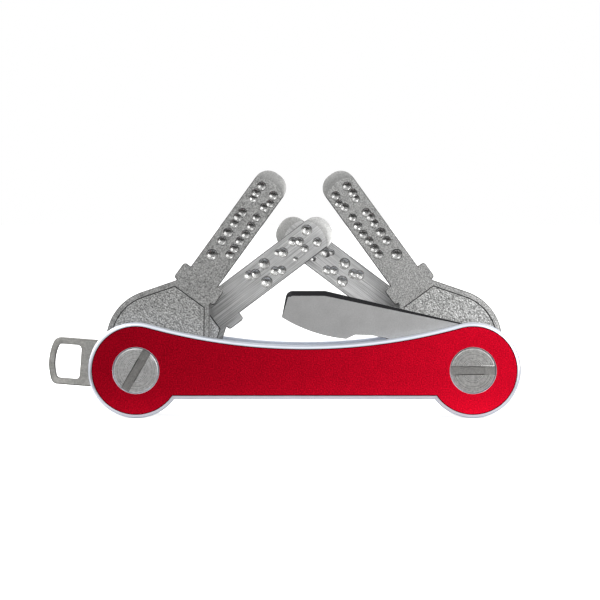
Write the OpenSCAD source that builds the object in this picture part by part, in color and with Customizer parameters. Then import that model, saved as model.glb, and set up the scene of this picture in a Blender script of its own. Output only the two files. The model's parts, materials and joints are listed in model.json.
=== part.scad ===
// Key organiser: two anodised plates hold two posts, and keys, a cutter tool and a
// keyring loop fold in and out between the plates.
// X runs along the plates, Y from the front plate to the back plate, Z up.
// The origin lies under the middle of the object, on the surface that it stands on.

/* [Plates] */
// Distance between the two posts
post_span = 76; // [63:0.5:92]
// Radius of the round lobe around each post
lobe_r = 10.8; // [9.5:0.1:13]
// Height of the curved upper edge above the posts, at mid length
waist_top = 5.64; // [4.5:0.02:6.8]
// Height of the straight lower edge below the posts
waist_bottom = 6.5; // [5.2:0.1:7.8]
// Thickness of each plate
plate_t = 2.4; // [2:0.05:3]
// Width and depth of the bare chamfer around each outer face
plate_chamfer = 0.8; // [0.3:0.05:1]

/* [Posts] */
// Radius of the barrel that everything turns on
barrel_r = 2.5; // [2.1:0.05:3]
// Radius of the screw heads and barrel heads
head_r = 5.12; // [4.3:0.02:6.2]
// Height of the heads
head_h = 1.2; // [1:0.05:1.4]
// Depth of the head's face below the plate's face
head_sink = 0.1; // [0.05:0.05:0.2]
// Width of the driver slot
slot_w = 2; // [1.2:0.1:2.4]
// Depth of the driver slot
slot_depth = 0.6; // [0.4:0.05:0.7]
// Radius of the threaded shank
shank_r = 1.7; // [1.3:0.05:1.9]
// Turn of the left screw's slot
left_slot_turn = 60; // [0:1:180]
// Turn of the right screw's slot
right_slot_turn = 0; // [0:1:180]

/* [Stack] */
// Thickness of a key
key_t = 2.4; // [1.8:0.05:3]
// Thickness of the cutter tool
tool_t = 2; // [1.6:0.05:2.6]
// Thickness of a washer
washer_t = 0.3; // [0.2:0.05:0.5]
// Radius of a washer and of a spacer
washer_r = 4.5; // [3.8:0.1:5.4]

/* [Keys] */
// Distance from the post to the key's tip
key_reach = 54.6; // [46:0.2:58]
// Half width of the key's blade
blade_half = 3.85; // [3.2:0.05:4.6]
// Radius of the key's bow
bow_r = 11.7; // [10.6:0.1:12.4]
// Rise of the two front keys above the plates' length
front_key_rise = 54; // [10:1:80]
// Rise of the two rear keys above the plates' length
rear_key_rise = 37; // [10:1:80]

/* [Cutter tool] */
// Distance from the post to the tool's tip
tool_reach = 44.9; // [38:0.1:53]
// Height of the tool's back above its post
tool_back = 9.75; // [8.2:0.05:10.5]
// Rise of the tool's back above the plates' length
tool_rise = 13.2; // [-6.8:0.2:60]

/* [Keyring loop] */
// Distance from the post to the outer end of the loop
loop_reach = 20.9; // [19:0.1:22.5]
// Height of the loop's strap
loop_h = 10.8; // [9.6:0.1:12.6]
// Width of the loop's outer bar
loop_bar = 1.4; // [1.1:0.05:1.8]
// Rise of the loop's outer end above the plates' length
loop_rise = 4.5; // [-80:0.5:80]

/* [Hidden] */
play = 0.04;                // gap between a turning piece and the washer beside it
pivot_clearance = 0.06;     // radial gap between the barrel and what turns on it
seat_clearance = 0.1;       // radial gap around a barrel in a plate and around a head
thread_clearance = 0.05;    // radial gap between the shank and the barrel's bore
cut_over = 0.5;             // overshoot of a cut past the face that it opens

slot_t = [tool_t, key_t, key_t, key_t, key_t];  // layers from the front plate to the back
last_slot = len(slot_t) - 1;
washer_count = len(slot_t) + 1;

function sum_to(list, n) = n <= 0 ? 0 : list[n - 1] + sum_to(list, n - 1);
gap = sum_to(slot_t, len(slot_t)) + 2 * play * len(slot_t) + washer_t * washer_count;
total_t = gap + 2 * plate_t;

// Where the piece in slot i starts, and where washer i starts
function slot_y(i) = -gap / 2 + washer_t * (i + 1) + sum_to(slot_t, i) + play * (2 * i + 1);
function washer_y(i) = -gap / 2 + (washer_t + 2 * play) * i + sum_to(slot_t, i);

loop_end_r = 12;
loop_left = (loop_reach - loop_end_r) * cos(loop_rise) + loop_end_r;
post_z = lobe_r;
mid_x = (loop_left - lobe_r) / 2;
LEFT = -1;
RIGHT = 1;

// ---- Shapes that several pieces share ----

// Points of an arc, both ends included
function arc(cx, cy, r, from, to, steps) =
    [for (i = [0:steps]) let (a = from + (to - from) * i / steps) [cx + r * cos(a), cy + r * sin(a)]];

// A flat outline in X and Z, given a thickness along Y
module slab(y, t) {
    translate([0, y + t, 0]) rotate([90, 0, 0]) linear_extrude(t) children();
}

// A round piece along Y whose radius may change from front to back
module disc(y, t, r_front, r_back) {
    translate([0, y + t, 0]) rotate([90, 0, 0]) cylinder(h = t, r1 = r_back, r2 = r_front, $fn = 96);
}

// A turned profile of [radius, distance behind the front] points, from Y = y
module turned(y) {
    translate([0, y, 0]) rotate([-90, 0, 0]) rotate_extrude($fn = 96) children();
}

// Puts a piece on a post, turned up by rise; the right post's pieces are mirrored
module on_post(side, rise = 0) {
    translate([mid_x + side * post_span / 2, 0, post_z])
        mirror([side == RIGHT ? 1 : 0, 0, 0])
            rotate([0, -rise, 0]) children();
}

// ---- Plates ----

waist_arc_r = (pow(post_span / 2, 2) + pow(waist_top, 2) - pow(lobe_r, 2)) / (2 * (lobe_r - waist_top));
waist_arc_y = waist_top + waist_arc_r;
lobe_steps = 64;
waist_steps = 28;

// Outline of a plate about its middle, moved inwards all round by inset
function plate_outline(inset) =
    let (
        half = post_span / 2,
        r = lobe_r - inset,
        corner = asin((waist_bottom - inset) / r),
        tangent = atan2(waist_arc_y, -half),
        right_lobe = arc(half, 0, r, corner - 180, tangent, lobe_steps),
        waist = arc(0, waist_arc_y, waist_arc_r + inset, tangent - 180, -tangent, waist_steps),
        inner_waist = [for (i = [1:waist_steps - 1]) waist[i]],
        left_lobe = [for (i = [lobe_steps:-1:0]) [-right_lobe[i].x, right_lobe[i].y]]
    )
    concat(right_lobe, inner_waist, left_lobe);

// The waste around the outer face that leaves the chamfer: a three-sided ring
module chamfer_waste() {
    rings = [
        [for (p = plate_outline(plate_chamfer + cut_over)) [p.x, -cut_over, p.y]],
        [for (p = plate_outline(-cut_over)) [p.x, plate_chamfer + cut_over, p.y]],
        [for (p = plate_outline(-cut_over)) [p.x, -cut_over, p.y]]
    ];
    n = len(rings[0]);
    polyhedron(
        points = concat(rings[0], rings[1], rings[2]),
        faces = [
            for (k = [0:2], i = [0:n - 1])
                let (this = k * n, next = (k + 1) % 3 * n, j = (i + 1) % n)
                [this + i, next + i, next + j, this + j]
        ]
    );
}

module plate() {
    seat_r = head_r + seat_clearance;
    color([0.72, 0.02, 0.07])
        difference() {
            slab(0, plate_t) polygon(plate_outline(0));
            chamfer_waste();
            for (side = [LEFT, RIGHT]) translate([side * post_span / 2, 0, 0]) {
                disc(-cut_over, cut_over + head_h + head_sink, seat_r, seat_r);
                disc(head_h, plate_t, barrel_r + seat_clearance, barrel_r + seat_clearance);
            }
        }
}

module front_plate() {
    translate([mid_x, -total_t / 2, post_z]) plate();
}

module back_plate() {
    translate([mid_x, total_t / 2, post_z]) mirror([0, 1, 0]) plate();
}

// ---- Posts: a screw from the front, turned into a barrel from the back ----

head_chamfer = 0.25;
shank_length = head_h + 8;
slot_pocket_r = 2.7;
slot_pocket_depth = 0.2;
plate_floor = plate_t - head_h - head_sink;
barrel_length = head_h + plate_floor + gap + plate_floor - seat_clearance;
barrel_bore_depth = shank_length - head_h + 1;

module driver_slot(turn) {
    rotate([0, -turn, 0]) {
        translate([-head_r - 1, -cut_over, -slot_w / 2])
            cube([2 * head_r + 2, cut_over + slot_depth, slot_w]);
        intersection() {
            translate([-head_r, 0, -slot_w / 2]) cube([2 * head_r, head_h, slot_w]);
            disc(0, slot_depth + slot_pocket_depth, slot_pocket_r, slot_pocket_r);
        }
    }
}

// A head of radius head_r, with a round stem of radius r and the whole length given
module headed_stem(r, length) {
    turned(0) polygon([
        [0, 0],
        [head_r - head_chamfer, 0],
        [head_r, head_chamfer],
        [head_r, head_h],
        [r, head_h],
        [r, length - head_chamfer],
        [r - head_chamfer, length],
        [0, length]
    ]);
}

module screw(side, turn) {
    color([0.78, 0.78, 0.76])
        on_post(side) translate([0, head_sink - total_t / 2, 0])
            difference() {
                headed_stem(shank_r, shank_length);
                driver_slot(turn);
            }
}

module barrel(side, turn) {
    bore_y = barrel_length - barrel_bore_depth;
    bore_r = shank_r + thread_clearance;
    color([0.74, 0.74, 0.72])
        on_post(side) translate([0, total_t / 2 - head_sink, 0]) mirror([0, 1, 0])
            difference() {
                headed_stem(barrel_r, barrel_length);
                driver_slot(turn);
                disc(bore_y, barrel_bore_depth + cut_over, bore_r, bore_r);
            }
}

// ---- Washers and spacers ----

module ring(side, y, t) {
    bore_r = barrel_r + pivot_clearance;
    on_post(side)
        difference() {
            disc(y, t, washer_r, washer_r);
            disc(y - cut_over, t + 2 * cut_over, bore_r, bore_r);
        }
}

module washer(side, i) {
    color([0.16, 0.16, 0.17]) ring(side, washer_y(i), washer_t);
}

// Fills slot i on the post where no piece turns in it
module spacer(side, i) {
    color([0.7, 0.71, 0.73]) ring(side, slot_y(i) - play, slot_t[i] + 2 * play);
}

// ---- Keys ----

bow_offset = 7.9;           // centre of the bow, from the post
neck_s = 21.5;              // where the bow's flanks end
neck_half = 4.75;
stop_start = 21.8;
stop_end = 26;
stop_reach = 1.75;          // how far the stops stand out of the blade
stop_round = 0.7;
tip_round = 3.4;
tip_bevel = 2.2;
tip_bevel_depth = 0.8;
tip_arc_r = 6;
bow_rim = 1.1;
recess_depth = 0.25;
recess_end = 20.4;
boss_r = washer_r + 0.4;
flank_reach = norm([neck_s - bow_offset, neck_half]);
flank_normal = atan2(neck_half, neck_s - bow_offset) + acos(bow_r / flank_reach);

// Pits of the front keys: distance from the tip, offset from the middle, radius
FRONT_PITS = [
    [4.4, 1.5, 1.1], [6.4, 1.6, 1.1], [7.8, 1.4, 1.0], [11.8, 1.5, 1.1], [13.2, 1.7, 1.1],
    [14.9, 1.5, 1.1], [17.4, 1.5, 1.2], [19.7, 1.5, 1.1], [23.6, 1.5, 1.35],
    [4.6, -1.9, 1.1], [6.5, -2.4, 1.0], [8.0, -1.8, 1.1], [10.9, -1.7, 1.0], [13.2, -1.9, 1.1],
    [15.4, -2.0, 1.1], [17.4, -1.8, 1.1], [19.5, -1.8, 1.1], [21.2, -1.8, 1.1]
];
// Pits of the rear keys
REAR_PITS = [
    [4.9, 2.0, 1.3], [4.6, -1.65, 1.1], [9.0, 1.8, 1.1], [7.8, 0.9, 1.1], [7.8, -1.1, 1.0],
    [12.3, 1.15, 1.2], [13.3, 1.9, 0.8], [10.9, -1.75, 0.6], [17.3, 1.7, 1.35],
    [16.3, -1.1, 1.1], [15.0, -1.9, 1.1], [19.3, -1.95, 1.35], [21.6, 1.6, 1.2], [20.3, 1.05, 1.2]
];
pit_depth_share = 0.5;      // depth of a pit as a share of its radius

// Upper half of the key's outline, from the bow's back to the tip
function key_half() = concat(
    arc(bow_offset, 0, bow_r, 180, flank_normal, 40),
    [[neck_s, neck_half], [stop_start, neck_half]],
    arc(stop_start + stop_round, blade_half + stop_reach - stop_round, stop_round, 180, 90, 6),
    arc(stop_end - stop_round, blade_half + stop_reach - stop_round, stop_round, 90, 0, 6),
    [[stop_end, blade_half]],
    arc(key_reach - tip_round, blade_half - tip_round, tip_round, 90, 0, 12)
);

function mirrored(half) = [for (i = [len(half) - 1:-1:1]) [half[i].x, -half[i].y]];

// The sunk field of the bow, bounded by its rim and by a straight line at the neck
function recess_half() =
    let (
        edge = arc(bow_offset, 0, bow_r - bow_rim, 180, flank_normal, 40),
        last = edge[len(edge) - 1],
        run = recess_end - last.x
    )
    concat(edge, [[recess_end, last.y - run / tan(flank_normal)]]);

// Repeats a cut made in the front face on the back face, as on a key that fits either way
module both_faces(t) {
    children();
    translate([0, t, 0]) rotate([180, 0, 0]) children();
}

// A shallow round bowl of radius pit_r in the front face
module pit(pit_r) {
    depth = pit_r * pit_depth_share;
    ball_r = (pit_r * pit_r + depth * depth) / (2 * depth);
    translate([0, depth - ball_r, 0]) sphere(ball_r, $fn = 40);
}

module face_cuts(pits) {
    slope = tip_bevel / tip_bevel_depth;
    bevel_centre = key_reach - tip_bevel - tip_arc_r;
    for (p = pits) translate([key_reach - p[0], 0, p[1]]) pit(p[2]);
    difference() {
        slab(-cut_over, cut_over + recess_depth) polygon(concat(recess_half(), mirrored(recess_half())));
        disc(-2 * cut_over, 3 * cut_over, boss_r, boss_r);
    }
    difference() {
        translate([bevel_centre + tip_arc_r - tip_bevel, -cut_over, -2 * blade_half])
            cube([3 * tip_bevel, cut_over + tip_bevel_depth, 4 * blade_half]);
        translate([bevel_centre, 0, 0])
            disc(-2 * cut_over, 2 * cut_over + 2 * tip_bevel_depth,
                tip_arc_r - 2 * cut_over * slope, tip_arc_r + 2 * tip_bevel_depth * slope);
    }
}

module key(side, slot, rise, pits, tint) {
    bore_r = barrel_r + pivot_clearance;
    color(tint)
        on_post(side, rise) translate([0, slot_y(slot), 0])
            difference() {
                slab(0, key_t) polygon(concat(key_half(), mirrored(key_half())));
                disc(-cut_over, key_t + 2 * cut_over, bore_r, bore_r);
                both_faces(key_t) face_cuts(pits);
            }
}

// ---- Cutter tool ----

tool_belly_r = 33.6;        // radius of the long curve along its lower edge
tool_belly_s = 34;          // where that curve is lowest
tool_tooth_s = 29.4;        // sharp tooth between the belly and the notch
tool_notch_s = 24;
tool_notch_q = 2.45;
tool_neck_s = 13.5;
tool_drop_s = tool_reach - 8.4;
tool_drop = 13.2;           // slope of the back towards the tip
tool_tip_round = 1.6;
tool_bevel = 1.1;
tool_bevel_depth = 0.9;
tool_bevel_taper = 1.4;
tool_heel_angle = 300;

function belly_q(s) = tool_belly_r - sqrt(pow(tool_belly_r, 2) - pow(s - tool_belly_s, 2));

function tool_outline() =
    let (
        tip_s = tool_reach - tool_tip_round,
        tip_q = tool_back - (tip_s - tool_drop_s) * tan(tool_drop) - tool_tip_round / cos(tool_drop),
        belly_end = tool_reach - 0.2,
        belly_steps = 10
    )
    concat(
        arc(0, 0, tool_back, 90, tool_heel_angle, 42),
        [[tool_neck_s, tool_notch_q], [tool_notch_s, tool_notch_q]],
        [[(tool_notch_s + tool_tooth_s) / 2 + 1, (tool_notch_q + belly_q(tool_tooth_s)) / 2 + 0.3]],
        [for (i = [0:belly_steps])
            let (s = tool_tooth_s + (belly_end - tool_tooth_s) * i / belly_steps) [s, belly_q(s)]],
        arc(tip_s, tip_q, tool_tip_round, 0, 90 - tool_drop, 8),
        [[tool_drop_s, tool_back]]
    );

// Cuts a slanting bevel into the front face, below a line through [s, q] that falls at slope
module edge_bevel(s, q, slope, before, after) {
    translate([s, 0, q]) rotate([0, slope, 0]) translate([-before, 0, -tool_bevel])
        rotate([atan2(tool_bevel, tool_bevel_depth), 0, 0])
            translate([0, -cut_over, 0]) cube([before + after, 4 * tool_bevel, 4 * tool_bevel]);
}

module cutter_tool() {
    bore_r = barrel_r + pivot_clearance;
    color([0.6, 0.6, 0.6])
        on_post(RIGHT, tool_rise) translate([0, slot_y(0), 0])
            difference() {
                slab(0, tool_t) polygon(tool_outline());
                disc(-cut_over, tool_t + 2 * cut_over, bore_r, bore_r);
                edge_bevel(tool_drop_s, tool_back, -tool_bevel_taper, tool_drop_s, tool_back);
                edge_bevel(tool_drop_s, tool_back, tool_drop, tool_back, 3 * tool_back);
            }
}

// ---- Keyring loop ----

loop_side_bar = 1.45;
loop_window_start = 13.6;
loop_corner = 1.6;
loop_window_corner = 1;

// Outer end of a strap of half height h whose end is an arc about the strap's own axis
function strap_end(h, end_centre, end_r, corner) =
    let (
        corner_s = end_centre + sqrt(pow(end_r - corner, 2) - pow(h - corner, 2)),
        meet = atan2(h - corner, corner_s - end_centre)
    )
    concat(
        arc(corner_s, corner - h, corner, -90, -meet, 8),
        arc(end_centre, 0, end_r, -meet, meet, 12),
        arc(corner_s, h - corner, corner, meet, 90, 8)
    );

module keyring_loop() {
    half = loop_h / 2;
    window_half = half - loop_side_bar;
    end_centre = loop_reach - loop_end_r;
    bore_r = barrel_r + pivot_clearance;
    inner_s = loop_window_start + loop_window_corner;
    inner_q = window_half - loop_window_corner;
    color([0.66, 0.66, 0.62])
        on_post(LEFT, 180 - loop_rise) translate([0, slot_y(last_slot), 0])
            difference() {
                slab(0, key_t) polygon(concat(
                    strap_end(half, end_centre, loop_end_r, loop_corner),
                    arc(0, 0, half, 90, 270, 36)
                ));
                slab(-cut_over, key_t + 2 * cut_over) polygon(concat(
                    strap_end(window_half, end_centre, loop_end_r - loop_bar, loop_window_corner),
                    arc(inner_s, inner_q, loop_window_corner, 90, 180, 6),
                    arc(inner_s, -inner_q, loop_window_corner, 180, 270, 6)
                ));
                disc(-cut_over, key_t + 2 * cut_over, bore_r, bore_r);
            }
}

// ---- The assembly ----

front_key_tint = [0.55, 0.55, 0.54];
rear_key_tint = [0.68, 0.68, 0.66];

front_plate();
back_plate();
screw(LEFT, left_slot_turn);  // left_screw
screw(RIGHT, right_slot_turn);  // right_screw
barrel(LEFT, right_slot_turn);  // left_barrel
barrel(RIGHT, left_slot_turn);  // right_barrel
key(LEFT, 1, front_key_rise, FRONT_PITS, front_key_tint);  // key_left_front
key(RIGHT, 2, front_key_rise, FRONT_PITS, front_key_tint);  // key_right_front
key(LEFT, 3, rear_key_rise, REAR_PITS, rear_key_tint);  // key_left_rear
key(RIGHT, 4, rear_key_rise, REAR_PITS, rear_key_tint);  // key_right_rear
cutter_tool();
keyring_loop();
spacer(LEFT, 0);  // left_spacer_front
spacer(LEFT, 2);  // left_spacer_middle
spacer(RIGHT, 1);  // right_spacer_middle
spacer(RIGHT, 3);  // right_spacer_rear
for (i = [0:washer_count - 1]) {
    washer(LEFT, i);
    washer(RIGHT, i);
}
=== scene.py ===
"""Finishes and fine shapes of a pocket key organiser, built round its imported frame.

Two waisted plates sit on two slotted posts. Four cut-down pit keys, a cutter tool and a keyring
loop turn on the posts. Lengths inside a piece are in millimetres, and its placement turns them into
the frame's metres.
"""

import json
import logging
import math
from collections.abc import Sequence
from dataclasses import dataclass
from enum import Enum
from typing import ClassVar

import bmesh
import bpy
from mathutils import Matrix, Vector


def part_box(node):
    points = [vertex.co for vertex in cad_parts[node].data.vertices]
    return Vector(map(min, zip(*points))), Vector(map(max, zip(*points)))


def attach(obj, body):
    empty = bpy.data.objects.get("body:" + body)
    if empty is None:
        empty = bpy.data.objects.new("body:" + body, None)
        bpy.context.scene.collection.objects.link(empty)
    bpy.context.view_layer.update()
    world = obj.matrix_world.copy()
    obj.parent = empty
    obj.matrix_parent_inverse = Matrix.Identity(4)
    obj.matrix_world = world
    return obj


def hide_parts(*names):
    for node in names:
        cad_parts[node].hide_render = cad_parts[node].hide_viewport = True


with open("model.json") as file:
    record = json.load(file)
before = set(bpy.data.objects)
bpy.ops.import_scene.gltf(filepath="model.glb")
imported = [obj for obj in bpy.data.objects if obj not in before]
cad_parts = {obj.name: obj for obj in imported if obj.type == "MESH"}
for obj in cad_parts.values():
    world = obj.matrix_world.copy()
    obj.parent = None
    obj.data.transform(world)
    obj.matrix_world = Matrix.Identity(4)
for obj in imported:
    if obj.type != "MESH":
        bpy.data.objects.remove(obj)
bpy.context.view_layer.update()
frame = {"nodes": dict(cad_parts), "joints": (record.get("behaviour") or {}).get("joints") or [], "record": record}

MM = 0.001  # a millimetre in the frame's metres
TOUCHING = 0.002 * MM  # points nearer than this are joined after a cut
SAME_POINT = 1e-5  # outline points nearer than this, in millimetres, are one
SMOOTH_ANGLE = math.radians(23.5)  # faces that meet at less than this look like one
FLAT_FACE_WEIGHT = 90  # how much large flat faces steer the shading
CREASE_ANGLE = math.radians(50)  # edges sharper than this get broken
SHARPEST_MITRE = 0.45  # limits how far a sharp corner moves when an outline is inset
BREAK = 0.08  # width of the broken edge of a bore, in millimetres
log = logging.getLogger("key_organiser")

Point = tuple[float, float]
Ring = list[bmesh.types.BMVert]


# ---------------------------------------------------------------- outlines


def arc(centre: Point, radius: float, start: float, end: float, steps: int) -> list[Point]:
    """Gives the points of an arc, both ends included.

    Args:
        centre: Middle of the arc.
        radius: Its radius.
        start: Angle of the first point, in degrees.
        end: Angle of the last point, in degrees.
        steps: Number of equal steps between them.

    Returns:
        The points from start to end.
    """
    angles = [math.radians(start + (end - start) * i / steps) for i in range(steps + 1)]
    return [(centre[0] + radius * math.cos(a), centre[1] + radius * math.sin(a)) for a in angles]


def circle(radius: float, centre: Point = (0, 0), steps: int = 96) -> list[Point]:
    """Gives a closed circle's points, each once."""
    return arc(centre, radius, 0, 360, steps)[:-1]


def closed_from_half(half: Sequence[Point]) -> list[Point]:
    """Mirrors the upper half of an outline about its long axis and closes it.

    Args:
        half: Points from one end on the axis to the other side.

    Returns:
        The whole outline, without a repeated point.
    """
    lower = [(x, -y) for x, y in reversed(half) if abs(y) > SAME_POINT / 10]
    return without_repeats(list(half) + lower)


def without_repeats(points: Sequence[Point]) -> list[Point]:
    """Drops each point that lies on the one before it."""
    return [p for i, p in enumerate(points) if math.dist(p, points[i - 1]) > SAME_POINT]


def inset(points: Sequence[Point], distance: float | Sequence[float]) -> list[Point]:
    """Moves a closed outline inwards along its own corners.

    Args:
        points: The outline.
        distance: How far, the same all round or one value for each point.

    Returns:
        The moved outline, with the same number of points.
    """
    count = len(points)
    area = sum(
        points[i - 1][0] * points[i][1] - points[i][0] * points[i - 1][1] for i in range(count)
    )
    inwards = 1 if area > 0 else -1
    moved = []
    for i, here in enumerate(points):
        before, after = Vector(points[i - 1]), Vector(points[(i + 1) % count])
        first = (Vector(here) - before).normalized()
        second = (after - Vector(here)).normalized()
        normal_1 = Vector((-first.y, first.x)) * inwards
        normal_2 = Vector((-second.y, second.x)) * inwards
        middle = (normal_1 + normal_2).normalized()
        reach = distance if isinstance(distance, (int, float)) else distance[i]
        step = middle * (reach / max(SHARPEST_MITRE, middle.dot(normal_1)))
        moved.append((here[0] + step.x, here[1] + step.y))
    return moved


def rounded_edge(radius: float, steps: int = 3) -> list[Point]:
    """Gives the pairs that round an edge from the face to the side.

    Args:
        radius: Radius of the rounding.
        steps: Number of flats in it.

    Returns:
        An inset and a depth for each ring, in millimetres.
    """
    angles = [math.radians(90 * k / steps) for k in range(steps + 1)]
    return [(radius * (1 - math.sin(a)), radius * (1 - math.cos(a))) for a in angles]


# ---------------------------------------------------------------- solids


@dataclass(frozen=True)
class Placement:
    """Where a piece's own along, depth and across axes lie in the frame.

    Attributes:
        post: Point on the post's axis, in metres.
        depth: Y of the piece's front face, in metres.
        rise: Turn of the piece above the plates' length, in degrees.
        mirrored: True on the right post, whose pieces face left.
    """

    post: Vector
    depth: float
    rise: float = 0.0
    mirrored: bool = False

    def matrix(self) -> Matrix:
        """Gives the way from the piece's millimetres to the frame's metres.

        Returns:
            The matrix.
        """
        flip = Matrix.Scale(-1, 4, (1, 0, 0)) if self.mirrored else Matrix.Identity(4)
        turn = Matrix.Rotation(-math.radians(self.rise), 4, "Y")
        origin = Matrix.Translation((self.post.x, self.depth, self.post.z))
        return origin @ flip @ turn @ Matrix.Scale(MM, 4)

    def grain_turn(self) -> float:
        """Gives the turn about Y, in radians, that lines the X axis up with the piece."""
        return math.radians(180 - self.rise if self.mirrored else self.rise)


class Relief:
    """A closed flat solid made of outlines at stated depths, joined by walls and faces.

    Its own axes are along, depth and across, in millimetres.

    Attributes:
        ball_steps: Number of steps round a ball.
    """

    ball_steps: int = 28

    def __init__(self) -> None:
        """Starts an empty solid."""
        self.mesh = bmesh.new()

    def ring(self, points: Sequence[Point], depth: float | Sequence[float]) -> Ring:
        """Adds an outline at a depth.

        Args:
            points: The outline, as (along, across) pairs.
            depth: Its distance behind the front face, the same all round or one for each point.

        Returns:
            The new vertices.
        """
        depths = [depth] * len(points) if isinstance(depth, (int, float)) else depth
        return [self.mesh.verts.new((p[0], d, p[1])) for p, d in zip(points, depths, strict=True)]

    def wall(self, rings: Sequence[Ring], slot: int = 0) -> None:
        """Joins each ring to the next one with a band of quads.

        Args:
            rings: Outlines with the same number of points, in order.
            slot: Material slot of the band.
        """
        for first, second in zip(rings, rings[1:], strict=False):
            for i in range(len(first)):
                j = (i + 1) % len(first)
                face = self.mesh.faces.new((first[i], first[j], second[j], second[i]))
                face.material_index = slot

    def cap(self, rings: Sequence[Ring], slot: int = 0) -> None:
        """Fills the flat region between an outer ring and the rings inside it.

        Args:
            rings: The outer ring and then the inner ones.
            slot: Material slot of the face.
        """
        edges = []
        for ring in rings:
            for i, vert in enumerate(ring):
                pair = (vert, ring[(i + 1) % len(ring)])
                edges.append(self.mesh.edges.get(pair) or self.mesh.edges.new(pair))
        made = bmesh.ops.triangle_fill(self.mesh, use_beauty=True, edges=edges, normal=(0, 1, 0))
        for face in made["geom"]:
            if isinstance(face, bmesh.types.BMFace):
                face.material_index = slot

    def ball(self, centre: tuple[float, float, float], radius: float) -> None:
        """Adds a ball whose poles face front and back.

        Args:
            centre: Its middle.
            radius: Its radius.
        """
        place = Matrix.Translation(centre) @ Matrix.Rotation(math.pi / 2, 4, "X")
        steps = self.ball_steps
        bmesh.ops.create_uvsphere(
            self.mesh, u_segments=steps, v_segments=steps, radius=radius, matrix=place
        )

    def piece(self, name: str, place: Placement, finishes: Sequence["Finish"]) -> bpy.types.Object:
        """Turns the solid into a placed object.

        Args:
            name: Name of the object.
            place: Where it goes in the frame.
            finishes: One finish for each of its material slots.

        Returns:
            The object, linked to the scene.
        """
        bmesh.ops.recalc_face_normals(self.mesh, faces=self.mesh.faces)
        self.mesh.transform(place.matrix())
        if place.mirrored:
            bmesh.ops.reverse_faces(self.mesh, faces=self.mesh.faces)
        data = bpy.data.meshes.new(name)
        self.mesh.to_mesh(data)
        self.mesh.free()
        for finish in finishes:
            data.materials.append(finish.material())
        made = bpy.data.objects.new(name, data)
        bpy.context.scene.collection.objects.link(made)
        return made


def carve(piece: bpy.types.Object, cutters: Sequence[bpy.types.Object]) -> None:
    """Cuts solids out of a piece, and joins the points that the cuts leave touching.

    Args:
        piece: The piece.
        cutters: The solids, which are removed. Each gives its material to the faces it cuts.
    """
    for cutter in cutters:
        cut = piece.modifiers.new("cut", "BOOLEAN")
        cut.operation = "DIFFERENCE"
        cut.solver = "EXACT"
        cut.material_mode = "TRANSFER"
        cut.object = cutter
        bpy.context.view_layer.update()
        done = piece.evaluated_get(bpy.context.evaluated_depsgraph_get())
        data = bpy.data.meshes.new_from_object(done)
        piece.modifiers.clear()
        piece.data = data
        bpy.data.objects.remove(cutter)
    joined = bmesh.new()
    joined.from_mesh(piece.data)
    bmesh.ops.remove_doubles(joined, verts=joined.verts, dist=TOUCHING)
    bmesh.ops.dissolve_degenerate(joined, edges=joined.edges, dist=TOUCHING)
    joined.to_mesh(piece.data)
    joined.free()


def soften(piece: bpy.types.Object, width: float) -> None:
    """Breaks the sharp edges of a piece.

    Args:
        piece: The piece.
        width: Width of the broken edge, in millimetres.
    """
    edges = piece.modifiers.new("broken_edges", "BEVEL")
    edges.width = width * MM
    edges.segments = 2
    edges.limit_method = "ANGLE"
    edges.angle_limit = CREASE_ANGLE
    edges.use_clamp_overlap = True


def shade(piece: bpy.types.Object) -> None:
    """Shades round stretches smooth and keeps real edges crisp.

    Args:
        piece: The piece.
    """
    data = piece.data
    data.polygons.foreach_set("use_smooth", [True] * len(data.polygons))
    data.set_sharp_from_angle(angle=SMOOTH_ANGLE)
    even = piece.modifiers.new("even_normals", "WEIGHTED_NORMAL")
    even.keep_sharp = True
    even.weight = FLAT_FACE_WEIGHT


# ---------------------------------------------------------------- finishes


class Grain(Enum):
    """How a metal surface was worked."""

    BLASTED = "blasted"
    BRUSHED = "brushed"
    TURNED = "turned"


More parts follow.
